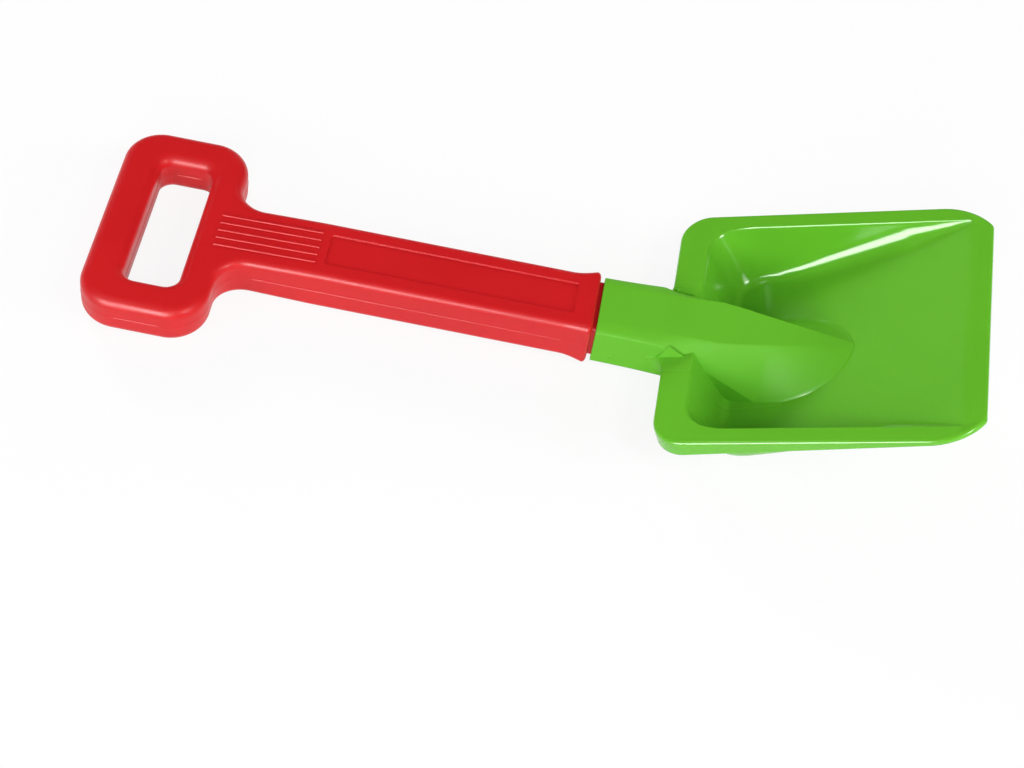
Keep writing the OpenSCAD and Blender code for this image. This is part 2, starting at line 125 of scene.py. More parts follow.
class ShovelReliefSizes(bpy.types.PropertyGroup):
    """Sizes of the sunk panel and of the grooves on the neck"""
    panel_l: length("Panel length", 103.8, "Length of the sunk panel")
    panel_w: length("Panel width", 15.8, "Width of the sunk panel")
    panel_depth: length("Panel depth", 0.7, "Depth of the sunk panel")
    panel_gap: length("Panel gap", 8.5, "Plain length between the panel and the collar's end")
    panel_edge: length("Panel edge radius", 0.3, "Rounding round the panel's rim")
    groove_count: IntProperty(name="Grooves", description="Number of grooves", default=5, min=1)
    groove_l: length("Groove length", 42.4, "Length of the grooves")
    groove_pitch: length("Groove pitch", 4, "Distance from groove to groove")
    groove_w: length("Groove width", 1.2, "Width of a groove at the surface")
    groove_depth: length("Groove depth", 0.6, "Depth of a groove")
    groove_start: length("Groove start", 4.6, "How far the grooves start back on the grip")


class ShovelBladeSizes(bpy.types.PropertyGroup):
    """Sizes of the blade: the socket, the tongue and the scoop"""
    socket_w: length("Socket width", 30.4, "Width of the socket at its mouth")
    socket_t: length("Socket thickness", 21, "Thickness of the socket at its mouth")
    socket_wall: length("Socket wall", 1.8, "Wall of the socket")
    socket_edge: length("Socket edge radius", 2.4, "Rounding along the socket's edges")
    socket_depth: length("Socket depth", 43.5, "Depth of the socket's bore")
    bore_w: length("Bore width", 26.8, "Width of the socket's bore")
    bore_t: length("Bore thickness", 17.4, "Thickness of the socket's bore")
    pip_r: length("Pip radius", 0.6, "Radius of the small round pips")
    pip_x: length("Pip place", 8, "Distance of the pips from the socket's mouth")
    pip_drop: length("Pip drop", 4, "How far the pips stand below the handle's axis")
    bend_l: length("Tongue bend", 50, "From the socket's mouth to the tongue's bend")
    bend_w: length("Bend width", 35.6, "Width of the tongue at its bend")
    tongue_w: length("Tongue width", 45.6, "Width of the tongue where its nose begins")
    nose_l: length("Nose length", 25, "Length of the tongue's rounded nose")
    flat_w: length("Tongue flat", 22, "Width of the tongue's flat top up to the bend")
    tip_w: length("Tip flat", 1.5, "Width of the flat top at the tip")
    flank_h: length("Flank height", 26, "Most height of the tongue's sides")
    tip_share: share("Tip place", 0.605, "Place of the tongue's tip along the scoop's floor")
    scoop_l: length("Scoop length", 130.3, "Length of the scoop's rim")
    scoop_w: length("Scoop width", 122.6, "Width of the scoop's rim")
    scoop_pitch: angle("Scoop pitch", 19.3, "Angle of the rim to the handle's axis")
    scoop_depth: length("Scoop depth", 26, "Depth of the scoop at its rear")
    set_back: length("Rim set back", 28.6, "From the socket's mouth to the rim's rear edge")
    rim_rise: length("Rim rise", 4, "Height of the rim's rear edge over the handle's axis")
    wall: length("Scoop wall", 1.9, "Wall of the scoop")
    rear_flange: length("Rear flange", 12.8, "Width of the rim's flange at the rear")
    side_flange: length("Side flange", 7.7, "Width of the rim's flange at the sides")
    front_lip: length("Front lip", 5.5, "Width of the flat lip at the front")
    skirt_h: length("Skirt height", 8.2, "Height of the skirt at the rear")
    skirt_l: length("Skirt length", 118, "Length over which the skirt runs out")
    lip_h: length("Lip height", 2.4, "Height of the front lip's edge")
    rim_edge: length("Rim edge radius", 1.5, "Rounding along the rim's upper edge")
    rear_corner: length("Rear corner", 13, "Corner radius of the rim at the rear")
    front_corner: length("Front corner", 26, "Radius of the drawn-in front corners")
    front_sweep: angle("Front sweep", 51, "Sweep of the drawn-in front corners")
    front_tip: length("Front tip", 4, "Radius where a front corner meets the front edge")
    bowl_corner: length("Bowl corner", 7, "Corner radius of the bowl at the front")
    rear_draft: angle("Rear draft", 20, "Slope of the rear wall")
    side_draft: angle("Side draft", 14, "Slope of the side walls")
    rear_fillet: length("Rear fillet", 4, "Fillet between the rear wall and the floor")
    side_fillet: length("Side fillet", 9, "Fillet between the side walls and the floor")
    fillet_growth: share("Fillet growth", 0.35, "How much the side fillet grows towards the front")
    floor_slope: angle("Floor slope", 16.7, "Slope of the scoop's floor to its rim")
    floor_ease: length("Floor ease", 6, "Height over which the floor eases into its level rear")
    web_r: length("Rear web radius", 7, "Webs between the flange and the socket")
    gusset_l: length("Gusset length", 11.5, "Length of the small gussets")
    gusset_h: length("Gusset height", 5.5, "Height of the gussets up the socket's side")
    gusset_out: length("Gusset stand-out", 0.8, "How far the gussets stand out")
    gusset_u: length("Gusset place", 3.6, "Place of the gussets' middle along the rim")


class ShovelPlastics(bpy.types.PropertyGroup):
    """Colours and finishes of the two mouldings"""
    red: paint("Handle red", (0.61, 0.013, 0.016), "Colour of the blow-moulded handle")
    red_deep: paint("Handle red, deep", (0.57, 0.011, 0.014), "Darker tone in the red")
    red_roughness: share("Handle roughness", 0.36, "Roughness of the red plastic")
    red_gloss: share("Handle gloss", 0.3, "Specular level of the red plastic")
    green: paint("Blade green", (0.132, 0.48, 0.0245), "Colour of the injection-moulded blade")
    green_deep: paint("Blade green, deep", (0.122, 0.447, 0.0226), "Darker tone in the green")
    green_roughness: share("Blade roughness", 0.14, "Roughness of the scoop's polished plastic")
    satin_roughness: share("Tongue roughness", 0.5, "Roughness of the satin socket and tongue")
    gloss: share("Gloss", 0.5, "Specular level of the polished scoop")
    satin_gloss: share("Tongue gloss", 0.15, "Specular level of the satin socket and tongue")
    satin_w: length("Satin width", 47, "Width of the satin part round the socket and the tongue")
    satin_rise: length("Satin rise", 0.2, "Height over the floor where the satin part starts")
    satin_fade: length("Satin fade", 1, "Length over which the satin part fades")


class ShovelStage(bpy.types.PropertyGroup):
    """Floor, lamps and camera"""
    floor: paint("Floor colour", (0.9, 0.9, 0.9), "Colour of the plain floor")
    soft_power: FloatProperty(name="Soft lamps", description="All the large soft lamps together",
                              default=63.0, min=0.0, unit="POWER")
    window_power: FloatProperty(name="Window lamp", description="Panes that only the gloss mirrors",
                                default=50.0, min=0.0, unit="POWER")
    focal: FloatProperty(name="Focal length", description="Focal length of the camera",
                         default=76.176, min=1.0, unit="CAMERA")


# ---- Shapes shared by both pieces

def unit(degrees):
    """Cosine and sine of an angle"""
    return math.cos(math.radians(degrees)), math.sin(math.radians(degrees))


def arc(cx, cy, r, a0, a1, n):
    """Points on an arc, n steps from a0 to a1 degrees"""
    a = np.radians(np.linspace(a0, a1, n + 1))
    return np.column_stack((cx + r * np.cos(a), cy + r * np.sin(a)))


def ramp(x, x0, x1):
    """Runs from 0 at x0 to 1 at x1"""
    return np.clip((x - x0) / (x1 - x0), 0.0, 1.0)


def lower(a, b, k):
    """The lesser of two heights with a smooth change over"""
    return np.minimum(a, b) - np.maximum(k - np.abs(a - b), 0.0) ** 2 / (4 * k)


def plain_object(name, verts, faces):
    """An object at the origin with this mesh"""
    mesh = bpy.data.meshes.new(name)
    mesh.from_pydata([tuple(v) for v in verts], [], faces)
    mesh.validate()
    obj = bpy.data.objects.new(name, mesh)
    bpy.context.collection.objects.link(obj)
    return obj


def drop_object(obj):
    mesh = obj.data
    bpy.data.objects.remove(obj)
    if mesh.users == 0:
        bpy.data.meshes.remove(mesh)


def baked(obj):
    """Turns an object's modifiers into its plain mesh"""
    graph = bpy.context.evaluated_depsgraph_get()
    mesh = bpy.data.meshes.new_from_object(obj.evaluated_get(graph))
    obj.modifiers.clear()
    old, obj.data = obj.data, mesh
    bpy.data.meshes.remove(old)
    return obj


def merged(obj, distance=2e-6):
    weld = obj.modifiers.new("Weld", "WELD")
    weld.merge_threshold = distance
    return baked(obj)


def cut_or_join(obj, tools, operation):
    """Joins closed tool shapes to obj, or cuts them from it, and removes them"""
    for tool in tools:
        step = obj.modifiers.new("Boolean", "BOOLEAN")
        step.operation = operation
        step.solver = "EXACT"
        step.object = tool
        baked(obj)
        if not obj.data.polygons:
            raise RuntimeError(f"{obj.name} has no faces after {tool.name}")
        drop_object(tool)
    return obj


def add_shell(obj, extra):
    """Adds another object's faces to obj as a closed shell of its own"""
    work = bmesh.new()
    work.from_mesh(obj.data)
    work.from_mesh(extra.data)
    work.to_mesh(obj.data)
    work.free()
    drop_object(extra)


def tube_faces(count, around):
    """Faces between this many rings of the same number of points, outwards for rings that turn
    anticlockwise seen against the tube's direction"""
    faces = []
    for a in range(0, (count - 1) * around, around):
        for j in range(around):
            k = (j + 1) % around
            faces.append((a + j, a + k, a + around + k, a + around + j))
    return faces


def tube(name, rings):
    """Closed tube through these rings"""
    rings = np.asarray(rings)
    count, around = rings.shape[:2]
    faces = tube_faces(count, around)
    faces.append(tuple(reversed(range(around))))
    faces.append(tuple(range((count - 1) * around, count * around)))
    return plain_object(name, rings.reshape(-1, 3), faces)


def rounded_section(half_w, half_t, r, n=8):
    """Loop of a rounded rectangle, anticlockwise"""
    return np.concatenate((
        arc(half_w - r, half_t - r, r, 0, 90, n), arc(r - half_w, half_t - r, r, 90, 180, n),
        arc(r - half_w, r - half_t, r, 180, 270, n), arc(half_w - r, r - half_t, r, 270, 360, n)))


def bar(name, stations, w, t, r):
    """Rounded bar along X: each station is a place and how far its section stands out"""
    rings = []
    for x, out in stations:
        ring = rounded_section(w / 2 + out, t / 2 + out, max(r + out, 0.2 * MM))
        rings.append(np.column_stack((np.full(len(ring), x), ring)))
    return tube(name, rings)


# Edges that turn by more than this stay sharp
SHARP_ANGLE = math.radians(32)


def finish_piece(obj, material, body, node):
    """Sets the piece in the shovel's frame, shades it and ties it to its body"""
    obj.data.transform(IN_SHOVEL)
    places = np.empty(3 * len(obj.data.vertices))
    obj.data.vertices.foreach_get("co", places)
    places = np.clip(places.reshape(-1, 3), *CAD_BOX)
    obj.data.vertices.foreach_set("co", places.ravel())
    obj.data.materials.clear()
    obj.data.materials.append(material)
    obj.data.polygons.foreach_set("material_index", [0] * len(obj.data.polygons))
    obj.data.shade_smooth()
    obj.data.set_sharp_from_angle(angle=SHARP_ANGLE)
    weigh = obj.modifiers.new("Weighted normals", "WEIGHTED_NORMAL")
    weigh.keep_sharp = True
    baked(obj)
    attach(obj, body)
    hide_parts(node)
    return obj


# ---- Handle

# Points over the collar's end, its flare, the shaft and a corner of the handle's outline
COLLAR_N, FLARE_N, SHAFT_N, TURN_N = 9, 13, 60, 19
# Points along the grip's straight edges: beside the neck, along a side, over half its end
NECK_N, GRIP_SIDE_N, GRIP_END_N = 5, 12, 16
# Points round a corner of the window and along its short and long sides, and over an edge
WINDOW_TURN_N, WINDOW_SHORT_N, WINDOW_LONG_N, EDGE_N = 13, 10, 24, 10
# Pitch of the points over the handle's flat top, and across its collar
GRID, COLLAR_GRID = 1.9 * MM, 2.2 * MM
# Width of the flat strip beside a rounded edge
FLAT_RIM = 0.4 * MM
# Rounding of the plug's end
PLUG_END = 0.5 * MM


def handle_places(h, relief):
    """Places along the handle's axis"""
    at = {"collar": -h.seat_gap}
    at["grip1"] = at["collar"] - h.shaft_l
    at["grip0"] = at["grip1"] - h.grip_l
    at["window0"] = at["grip0"] + h.end_bar
    at["window1"] = at["window0"] + h.window_l
    at["ramp"] = at["grip1"] - relief.groove_start
    at["flare"] = at["collar"] - h.collar_l
    return at


def handle_top(h, relief, at, x, y):
    """Half the handle's thickness at x, y, before its edges round over"""
    neck = 1 - ramp(np.abs(y), h.shaft_w / 2, h.shaft_w / 2 + h.neck_fillet)
    rise = (h.shaft_t - h.grip_t) / 2 * ramp(x, at["ramp"], at["ramp"] + relief.groove_l)
    lift = rise * np.where(x > at["grip1"] + h.neck_fillet, 1.0, neck * neck * (3 - 2 * neck))
    end_x = at["collar"] - h.collar_end
    flare = h.collar_flare * (1 - np.cos(math.pi / 2 * ramp(x, at["flare"], end_x)))
    over = np.clip(x - end_x, 0.0, h.collar_end)
    drop = h.collar_end - np.sqrt(np.maximum(h.collar_end ** 2 - over ** 2, 0.0))
    return h.grip_t / 2 + lift + flare - drop


def handle_side(h, relief, at):
    """One side's outline from the collar's end round to the middle of the grip's end: rows of
    x, y, outward x, outward y, edge rounding"""
    end_x = at["collar"] - h.collar_end
    neck_x = at["grip1"] + h.neck_fillet
    xs = np.concatenate((end_x + h.collar_end * np.sin(np.radians(np.linspace(90, 0, COLLAR_N))),
                         np.linspace(end_x, at["flare"], FLARE_N)[1:],
                         np.linspace(at["flare"], neck_x, SHAFT_N)[1:-1]))
    taper = ramp(xs, at["ramp"], at["ramp"] + relief.groove_l)
    plain = h.grip_t / 2 + (h.shaft_t - h.grip_t) / 2 * taper
    ys = h.shaft_w / 2 + handle_top(h, relief, at, xs, 0.0 * xs) - plain
    side = [(x, y, 0.0, 1.0, h.shaft_edge) for x, y in zip(xs, ys)]
    for c, s in map(unit, np.linspace(90, 0, TURN_N)):
        side.append((at["grip1"] + h.neck_fillet * (1 - c), h.shaft_w / 2 + h.neck_fillet * (1 - s),
                     c, s, h.grip_edge + (h.shaft_edge - h.grip_edge) * s))
    half, corner = h.grip_w / 2, h.grip_corner
    front, back = at["grip1"] - corner, at["grip0"] + corner
    for y in np.linspace(h.shaft_w / 2 + h.neck_fillet, half - corner, NECK_N)[1:-1]:
        side.append((at["grip1"], y, 1.0, 0.0, h.grip_edge))
    for c, s in map(unit, np.linspace(0, 90, TURN_N)):
        side.append((front + corner * c, half - corner + corner * s, c, s, h.grip_edge))
    for x in np.linspace(front, back, GRIP_SIDE_N)[1:-1]:
        side.append((x, half, 0.0, 1.0, h.grip_edge))
    for c, s in map(unit, np.linspace(90, 180, TURN_N)):
        side.append((back + corner * c, half - corner + corner * s, c, s, h.grip_edge))
    for y in np.linspace(half - corner, 0, GRIP_END_N)[1:]:
        side.append((at["grip0"], y, -1.0, 0.0, h.grip_edge))
    return np.array(side)


def window_outline(h, at):
    """The finger window's loop, whose outward side is the window"""
    r, edge = h.window_corner, h.grip_edge
    x0, x1, y1 = at["window0"] + r, at["window1"] - r, h.window_w / 2 - r
    corners = ((x1, y1, 0, WINDOW_SHORT_N), (x0, y1, 90, WINDOW_LONG_N),
               (x0, -y1, 180, WINDOW_SHORT_N), (x1, -y1, 270, WINDOW_LONG_N))
    rows = []
    for i, (x, y, start, steps) in enumerate(corners):
        for c, s in map(unit, np.linspace(start, start + 90, WINDOW_TURN_N)):
            rows.append((x + r * c, y + r * s, -c, -s, edge))
        to_x, to_y = corners[(i + 1) % 4][:2]
        for k in np.linspace(0, 1, steps)[1:-1]:
            rows.append((x + (to_x - x) * k + r * c, y + (to_y - y) * k + r * s, -c, -s, edge))
    return np.array(rows)


def edge_profile(r, t, seam_h, seam_out):
    """Distance in from the outline and height of the points over an edge, from top to bottom"""
    top = [(seam_out + r + FLAT_RIM, t)]
    top += [(seam_out + r * (1 - c), t - r + r * s)
            for c, s in map(unit, np.linspace(90, 0, EDGE_N))]
    top += [(seam_out, seam_h / 2), (0.25 * seam_out, seam_h / 5)]
    return top + [(d, -z) for d, z in reversed(top)]


def inside(points, loop):
    """Whether each point lies inside a closed loop"""
    x, y = points[:, 0][:, None], points[:, 1][:, None]
    a, b = loop, np.roll(loop, -1, 0)
    crosses = (a[:, 1] > y) != (b[:, 1] > y)
    with np.errstate(divide="ignore", invalid="ignore"):
        cut = a[:, 0] + (y - a[:, 1]) / (b[:, 1] - a[:, 1]) * (b[:, 0] - a[:, 0])
    return (np.where(crosses, x < cut, False).sum(1) % 2) == 1


def flat_cells(h, at, side, rim):
    """Cells over the handle's flat top, between its outline and the window: the places of their
    corners, and each cell's corners anticlockwise"""
    gy = np.arange(0, h.grip_w / 2, GRID)
    gy = np.concatenate((-gy[:0:-1], gy))
    grid = np.array([(x, y) for x in np.arange(at["grip0"], at["collar"], GRID) for y in gy])
    collar = np.array([(x, y) for x in side[1:COLLAR_N + FLARE_N - 1, 0]
                       for y in np.linspace(-5, 5, 11) * COLLAR_GRID])
    grid = np.concatenate((grid[grid[:, 0] < at["flare"] - GRID / 2], collar))
    grid = grid[inside(grid, rim[0]) & ~inside(grid, rim[1])]
    near = np.sqrt(((grid[:, None] - np.concatenate(rim)[None]) ** 2).sum(2)).min(1)
    grid = grid[near > 0.45 * GRID * np.where(grid[:, 0] > at["flare"], 0.5, 1.0)]
    edges = []
    for start, count in ((0, len(rim[0])), (len(rim[0]), len(rim[1]))):
        edges += [(start + i, start + (i + 1) % count) for i in range(count)]
    flat = [Vector(p) for p in np.concatenate((*rim, grid))]
    out = delaunay_2d_cdt(flat, edges, [], 1, 1e-7)
    places = np.array([tuple(p) for p in out[0]])
    middle = np.array([places[list(cell)].mean(0) for cell in out[2]])
    cells = []
    for cell, good in zip(out[2], inside(middle, rim[0]) & ~inside(middle, rim[1])):
        if good:
            a, b = places[cell[1]] - places[cell[0]], places[cell[2]] - places[cell[0]]
            cells.append(tuple(cell) if a[0] * b[1] > a[1] * b[0] else tuple(reversed(cell)))
    return places, cells


def handle_skin(h, relief, at):
    """The grip, the shaft and the collar as one closed skin"""
    side = handle_side(h, relief, at)
    outer = np.concatenate((side, side[::-1][1:] * np.array((1, -1, 1, -1, 1))))
    window = window_outline(h, at)[::-1]
    verts, faces, rims = [], [], []
    for rows, closed in ((outer, False), (window, True)):
        start = len(verts)
        top = handle_top(h, relief, at, rows[:, 0], rows[:, 1])
        around = 0
        for (x, y, nx, ny, r), t in zip(rows, top):
            profile = edge_profile(r, float(t), h.seam_h, h.seam_out)
            around = len(profile)
            verts.extend((x - nx * d, y - ny * d, z) for d, z in profile)
        n = len(rows)
        for i in range(n if closed else n - 1):
            a, b = start + i * around, start + (i + 1) % n * around
            faces += [(a + j, a + j + 1, b + j + 1, b + j) for j in range(around - 1)]
        rims.append([start + i * around for i in range(n)])
        if not closed:
            first = [start + j for j in range(around)]
            last = [start + (n - 1) * around + j for j in range(around)]
            faces.append(tuple(reversed(first)) + tuple(last))
    verts = np.array(verts)
    rim = [verts[r][:, :2] for r in rims]
    places, cells = flat_cells(h, at, side, rim)
    top = handle_top(h, relief, at, places[:, 0], places[:, 1])
    base = len(verts)
    for cell in cells:
        faces.append(tuple(base + i for i in cell))
        faces.append(tuple(base + len(places) + i for i in reversed(cell)))
    upper, under = np.column_stack((places, top)), np.column_stack((places, -top))
    return merged(plain_object("handle_moulding", np.concatenate((verts, upper, under)), faces))


def panel_cutter(h, relief, at):
    """Cutter of the sunk panel, whose rim and foot are rounded"""
    middle = np.array((at["collar"] - relief.panel_gap - relief.panel_l / 2, 0.0))
    top, e, d = h.shaft_t / 2, relief.panel_edge, relief.panel_depth
    foot, corner = 0.25 * MM, 1.1 * MM
    steps = [(foot * (1 - math.sin(a)), -d + foot * (1 - math.cos(a)))
             for a in np.linspace(0, math.pi / 2, 5)]
    # Round the rim and on out of the surface, so that the cutter's top stands clear of it
    steps += [(-e * (1 - math.cos(a)), -e + e * math.sin(a)) for a in np.linspace(0, 1.35, 6)]
    steps.append((steps[-1][0] - 0.1 * MM, 0.6 * MM))
    rings = []
    for inset, z in steps:
        loop = rounded_section(relief.panel_l / 2 - inset, relief.panel_w / 2 - inset,
                               corner - inset, 6)
        rings.append(np.column_stack((middle + loop, np.full(len(loop), top + z))))
    return tube("panel", rings)


def repeat_tree(name, inputs):
    """Node tree with a geometry output and these inputs, each a kind and a value by its name"""
    tree = bpy.data.node_groups.new(name, "GeometryNodeTree")
    tree.interface.new_socket("Geometry", in_out="OUTPUT", socket_type="NodeSocketGeometry")
    for key, (kind, _) in inputs.items():
        tree.interface.new_socket(key, in_out="INPUT", socket_type="NodeSocket" + kind)
    return tree, add_node(tree, "NodeGroupInput")


def add_node(tree, kind, values=None, **settings):
    """A new node with these settings and these values at its inputs"""
    node = tree.nodes.new(kind)
    for key, value in settings.items():
        setattr(node, key, value)
    for key, value in (values or {}).items():
        node.inputs[key].default_value = value
    return node


def wire(tree, *links):
    """Links nodes, each link given as a node and its output, a node and its input"""
    for a, output, b, entry in links:
        tree.links.new(a.outputs[output], b.inputs[entry])


def end_tree(tree, instances, group_in):
    """Ends a tree in Realize Instances and Set Material"""
    real = add_node(tree, "GeometryNodeRealizeInstances")
    dress = add_node(tree, "GeometryNodeSetMaterial")
    out = add_node(tree, "NodeGroupOutput")
    wire(tree, (instances, 0, real, 0), (real, 0, dress, "Geometry"),
         (group_in, "Material", dress, "Material"), (dress, 0, out, 0))


def run_tree(name, tree, inputs):
    """Plain mesh object that a node tree makes from these inputs"""
    obj = plain_object(name, [], [])
    mod = obj.modifiers.new(name, "NODES")
    mod.node_group = tree
    for socket in tree.interface.items_tree:
        if socket.in_out == "INPUT":
            mod[socket.identifier] = inputs[socket.name][1]
    baked(obj)
    if not obj.data.polygons:
        raise RuntimeError(f"{name}: the node tree made no faces")
    return obj


def groove_cutters(h, relief, at, material):
    """Round-bottomed bars that cut the grooves, repeated across the neck"""
    x0, lift = at["ramp"], relief.groove_w / 2 - relief.groove_depth
    inputs = {
        "Count": ("Int", relief.groove_count),
        "Pitch": ("Float", relief.groove_pitch),
        "Start": ("Vector", (x0, 0.0, h.grip_t / 2 + lift)),
        "End": ("Vector", (x0 + relief.groove_l, 0.0, h.shaft_t / 2 + lift)),
        "Radius": ("Float", relief.groove_w / 2),
        "Material": ("Material", material),
    }
    tree, g = repeat_tree("Grooves across the neck", inputs)
    line = add_node(tree, "GeometryNodeCurvePrimitiveLine")
    ring = add_node(tree, "GeometryNodeCurvePrimitiveCircle", {"Resolution": 20})
    sweep = add_node(tree, "GeometryNodeCurveToMesh", {"Fill Caps": True})
    # The first bar stands half of the count less one pitches back from the middle
    less = add_node(tree, "ShaderNodeMath", {1: 1.0}, operation="SUBTRACT")
    half = add_node(tree, "ShaderNodeMath", {1: -0.5}, operation="MULTIPLY")
    back = add_node(tree, "ShaderNodeMath", operation="MULTIPLY")
    first = add_node(tree, "ShaderNodeCombineXYZ")
    step = add_node(tree, "ShaderNodeCombineXYZ")
    row = add_node(tree, "GeometryNodeMeshLine", mode="OFFSET")
    place = add_node(tree, "GeometryNodeInstanceOnPoints")
    wire(tree, (g, "Start", line, "Start"), (g, "End", line, "End"), (g, "Radius", ring, "Radius"),
         (line, 0, sweep, "Curve"), (ring, 0, sweep, "Profile Curve"), (g, "Count", less, 0),
         (less, 0, half, 0), (half, 0, back, 0), (g, "Pitch", back, 1), (back, 0, first, "Y"),
         (g, "Pitch", step, "Y"), (g, "Count", row, "Count"), (first, 0, row, "Start Location"),
         (step, 0, row, "Offset"), (row, 0, place, "Points"), (sweep, 0, place, "Instance"))
    end_tree(tree, place, g)
    return run_tree("grooves", tree, inputs)


class OBJECT_OT_shovel_handle(bpy.types.Operator):
    """Build the hollow handle with its grip, panel, grooves and plug"""
    bl_idname = "object.shovel_handle"
    bl_label = "Handle"

    def execute(self, context):
        h, relief = context.scene.shovel_handle, context.scene.shovel_relief
        at = handle_places(h, relief)
        red = red_plastic(context.scene.shovel_plastics)
        skin = handle_skin(h, relief, at)
        end = PLUG_END
        plug = bar("plug", [(at["collar"] - h.collar_l / 2, 0), (h.plug_l - end, 0),
                            (h.plug_l - 0.3 * end, -0.3 * end), (h.plug_l, -end)],
                   h.plug_w, h.plug_t, h.plug_edge)
        cut_or_join(skin, [plug], "UNION")
        hollow = bar("hollow", [(at["grip1"] + h.neck_fillet, 0), (at["collar"] - h.collar_l, 0),
                                (h.plug_l - h.wall, 0)],
                     h.plug_w - 2 * h.wall, h.plug_t - 2 * h.wall, h.plug_edge)
        hole = arc(0, 0, h.blow_hole, 0, 360, 40)[:-1]
        hole = tube("hole", [np.column_stack((np.full(len(hole), x), hole))
                             for x in (h.plug_l - 2 * h.wall, h.plug_l + h.wall)])
        grooves = groove_cutters(h, relief, at, red)
        cut_or_join(skin, [hollow, hole, panel_cutter(h, relief, at), grooves], "DIFFERENCE")
        finish_piece(skin, red, "handle", "handle")
        return {"FINISHED"}


# ---- Blade

# The scoop's side fillets grow between these shares of its length, and a fillet takes up no more
# than this share of the room under its wall
GROWTH_FROM, GROWTH_TO, FILLET_ROOM = 0.2, 0.85, 0.95
# Points along the parts of a half loop round the scoop
FRONT_N, TIP_N, CORNER_N, SIDE_N, REAR_N, WEB_N = 22, 8, 18, 64, 12, 12
# Shares of the walls' run at which the bowl's loops stand: over the walls' top edge, down the
# walls with their fillets, and out over the floor. From there the loops close in by FLOOR_PARTS
BOWL_PARTS = np.concatenate((np.linspace(-0.09, 0.13, 17), np.linspace(0.16, 1.5, 38),
                             np.linspace(1.58, 2.6, 9)))
FLOOR_PARTS = (0.12, 0.25, 0.38, 0.51, 0.64, 0.76, 0.87, 0.95)
# Shares of the way from the scoop's rear to the tongue's tip at which its sections stand
TONGUE_PARTS = np.concatenate((np.linspace(0.02, 0.9, 50), np.linspace(0.91, 0.985, 14),
                               (0.99, 0.994, 0.997, 0.999)))
HOLLOW_PARTS = np.linspace(0.02, 0.985, 44)
# Points down the tongue's sides, over its flat top and round its feet, and its sections up to the
# bend, outside and in its hollow
FLANK_N, CROWN_N, FOOT_N, NECK_SECTIONS, HOLLOW_SECTIONS = 26, 6, 6, 40, 5
# Powers that bend the tongue's sides from round to hollow at the crest and at the foot, what the
# far side has more, and what the nose takes back
CREST, FAR_CREST, FOOT, FAR_FOOT, NOSE_FOOT = 0.5, 0.5, 1.2, 1.6, 0.8
# Rounding of the skirt's lower edges, the socket's mouth, the bore's edges and the gussets
SKIRT_EDGE, MOUTH_EDGE, BORE_EDGE, GUSSET_EDGE = 0.35 * MM, 0.3 * MM, 1.7 * MM, 0.16 * MM
# Place of the loops round the socket's mouth behind its face, and how far each draws in
MOUTH_ROUND = ((0.0, MOUTH_EDGE), (0.09 * MM, 0.108 * MM), (0.18 * MM, 0.03 * MM))
# How far in the second loop of the skirt's lower edges stands
SKIRT_TURN = 0.08 * MM


def blade_rules(b):
    """Values that follow from the blade's sizes"""
    rear_cot, side_cot = 1 / math.tan(b.rear_draft), 1 / math.tan(b.side_draft)
    v = {
        "rear_cot": rear_cot, "side_cot": side_cot,
        "inner_w": b.scoop_w / 2 - b.side_flange,
        "front_u": b.scoop_l - b.front_lip,
        "rear_run": b.scoop_depth / rear_cot,
        "side_run": b.scoop_depth / side_cot,
        "shift": b.wall / math.cos(b.rear_draft),
        "corner": 1.17 * b.rear_corner * (rear_cot + side_cot) / 2,
    }
    v["rear_u"] = b.rear_flange + v["rear_run"]
    v["tip_u"] = v["front_u"] * b.tip_share
    x, z = floor_point(b, v, v["tip_u"])
    v["tip_x"], v["tip_z"] = float(x), float(z)
    v["nose_x"] = v["tip_x"] - b.nose_l
    return v


def floor_c(b, v, u):
    slope = np.maximum(v["front_u"] - u, 0.0) * math.tan(b.floor_slope)
    return -lower(b.scoop_depth, slope, b.floor_ease)


def from_rim(b, u, h):
    """Place and height in the handle's frame of what stands at u and h in the rim's frame"""
    c, s = math.cos(b.scoop_pitch), math.sin(b.scoop_pitch)
    return b.set_back + u * c - h * s, b.rim_rise + u * s + h * c


def floor_point(b, v, u):
    """Place and height of the scoop's floor in the handle's frame"""
    return from_rim(b, u, floor_c(b, v, u))


def bowl_c(b, v, u, w, shift):
    """Height of the scoop's surface over the rim's plane, with round fillets at the walls' feet"""
    rear = (u - b.rear_flange + shift) * v["rear_cot"]
    side = (v["inner_w"] - np.abs(w) + shift) * v["side_cot"]
    part = np.clip((1 + (side - rear) / v["corner"]) / 2, 0.0, 1.0)
    slope = np.hypot(v["rear_cot"] * part, v["side_cot"] * (1 - part))
    tilt = np.arctan(slope)
    floor, wall = -floor_c(b, v, u), lower(rear, side, v["corner"])
    along = ramp(u, GROWTH_FROM * v["front_u"], GROWTH_TO * v["front_u"])
    grown = 1 + b.fillet_growth * (2 * along - 1)
    r = b.rear_fillet * part + b.side_fillet * grown * (1 - part)
    r = np.minimum(r, FILLET_ROOM * floor / (1 - np.cos(tilt))) + shift
    run, away = r * np.tan(tilt / 2), (wall - floor) / slope
    bend = floor - r + np.sqrt(np.maximum(r ** 2 - (run - away) ** 2, 0.0))
    depth = np.where(away > run, floor, np.where(away < -run * np.cos(tilt), wall, bend))
    return lower(0.0 * u, -depth, b.wall)


